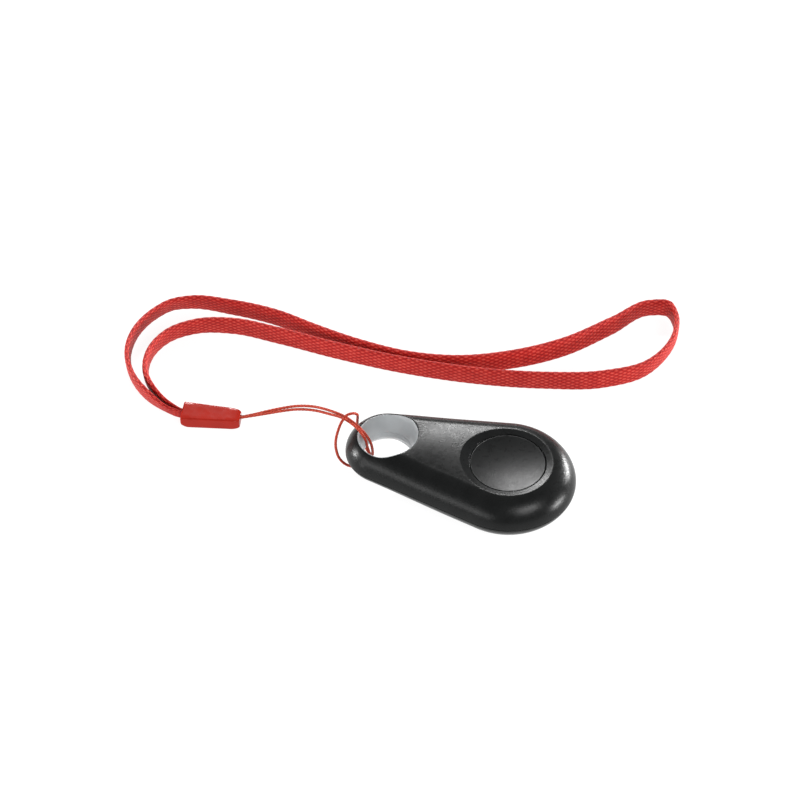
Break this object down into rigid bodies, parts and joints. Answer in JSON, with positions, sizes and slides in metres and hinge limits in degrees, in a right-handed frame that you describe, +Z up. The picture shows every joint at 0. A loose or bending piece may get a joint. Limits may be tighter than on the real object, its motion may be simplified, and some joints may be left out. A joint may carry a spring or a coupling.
{
  "type": "camera shutter remote",
  "caption": "Pocket wireless camera shutter remote: flat black teardrop case with a round push button, a lined eyelet and a red woven wrist strap.",
  "frame": {"origin": "on the surface that the case rests on, below the middle of the case's length and width, which is the bottom centre of the case's box without the strap, string and clamp", "axes": "+X along the case from the eyelet to the button, +Z up through the button, +Y away from the camera side"},
  "size_m": [0.1223, 0.0819, 0.0128],
  "materials": {
    "case": "satin black, fine moulded grain",
    "button": "satin black, fine moulded grain",
    "liner": "light grey, glossy",
    "board": "green solder mask",
    "chip": "black moulding",
    "capacitor": "brown ceramic",
    "lens": "clear lens on a white body",
    "copper": "copper trace",
    "switch_plastic": "black moulding",
    "key": "red moulding",
    "can_metal": "plated steel",
    "gasket": "dark grey",
    "core": "pressed dark powder",
    "contact": "plated spring brass",
    "clamp": "glossy red",
    "strap": "red braided polyester",
    "string": "orange-red twisted yarn"
  },
  "bodies": {
    "case": {"top_shell": "case", "bottom_shell": "case", "eyelet_ring": "liner", "circuit_board": "board", "bluetooth_chip": "chip", "crystal": "can_metal", "capacitors": "capacitor", "resistors": "chip", "status_led": "lens", "antenna": "copper", "switch_base": "switch_plastic", "switch_legs": "can_metal", "switch_dome": "can_metal", "switch_cover": "can_metal", "battery_can": "can_metal", "battery_gasket": "gasket", "battery_cap": "can_metal", "battery_core": "core", "positive_contact": "contact", "negative_contact": "contact", "strap_clamp": "clamp", "wrist_strap": "strap", "string_loop": "string"},
    "button": {"button_cap": "button"},
    "key": {"switch_plunger": "key"}
  },
  "joints": [
    {"name": "button_press", "type": "slide", "parent": "case", "child": "button", "axis": [0, 0, -1], "range_m": [0, 0.00035], "stiffness_N_per_m": 1500, "springref_m": -0.0003},
    {"name": "switch_press", "type": "slide", "parent": "case", "child": "key", "axis": [0, 0, -1], "range_m": [0, 0.00025], "deforming": ["switch_dome"]}
  ],
  "couplings": [
    {"joint": "switch_press", "follows": "button_press", "ratio": 0.71429}
  ]
}
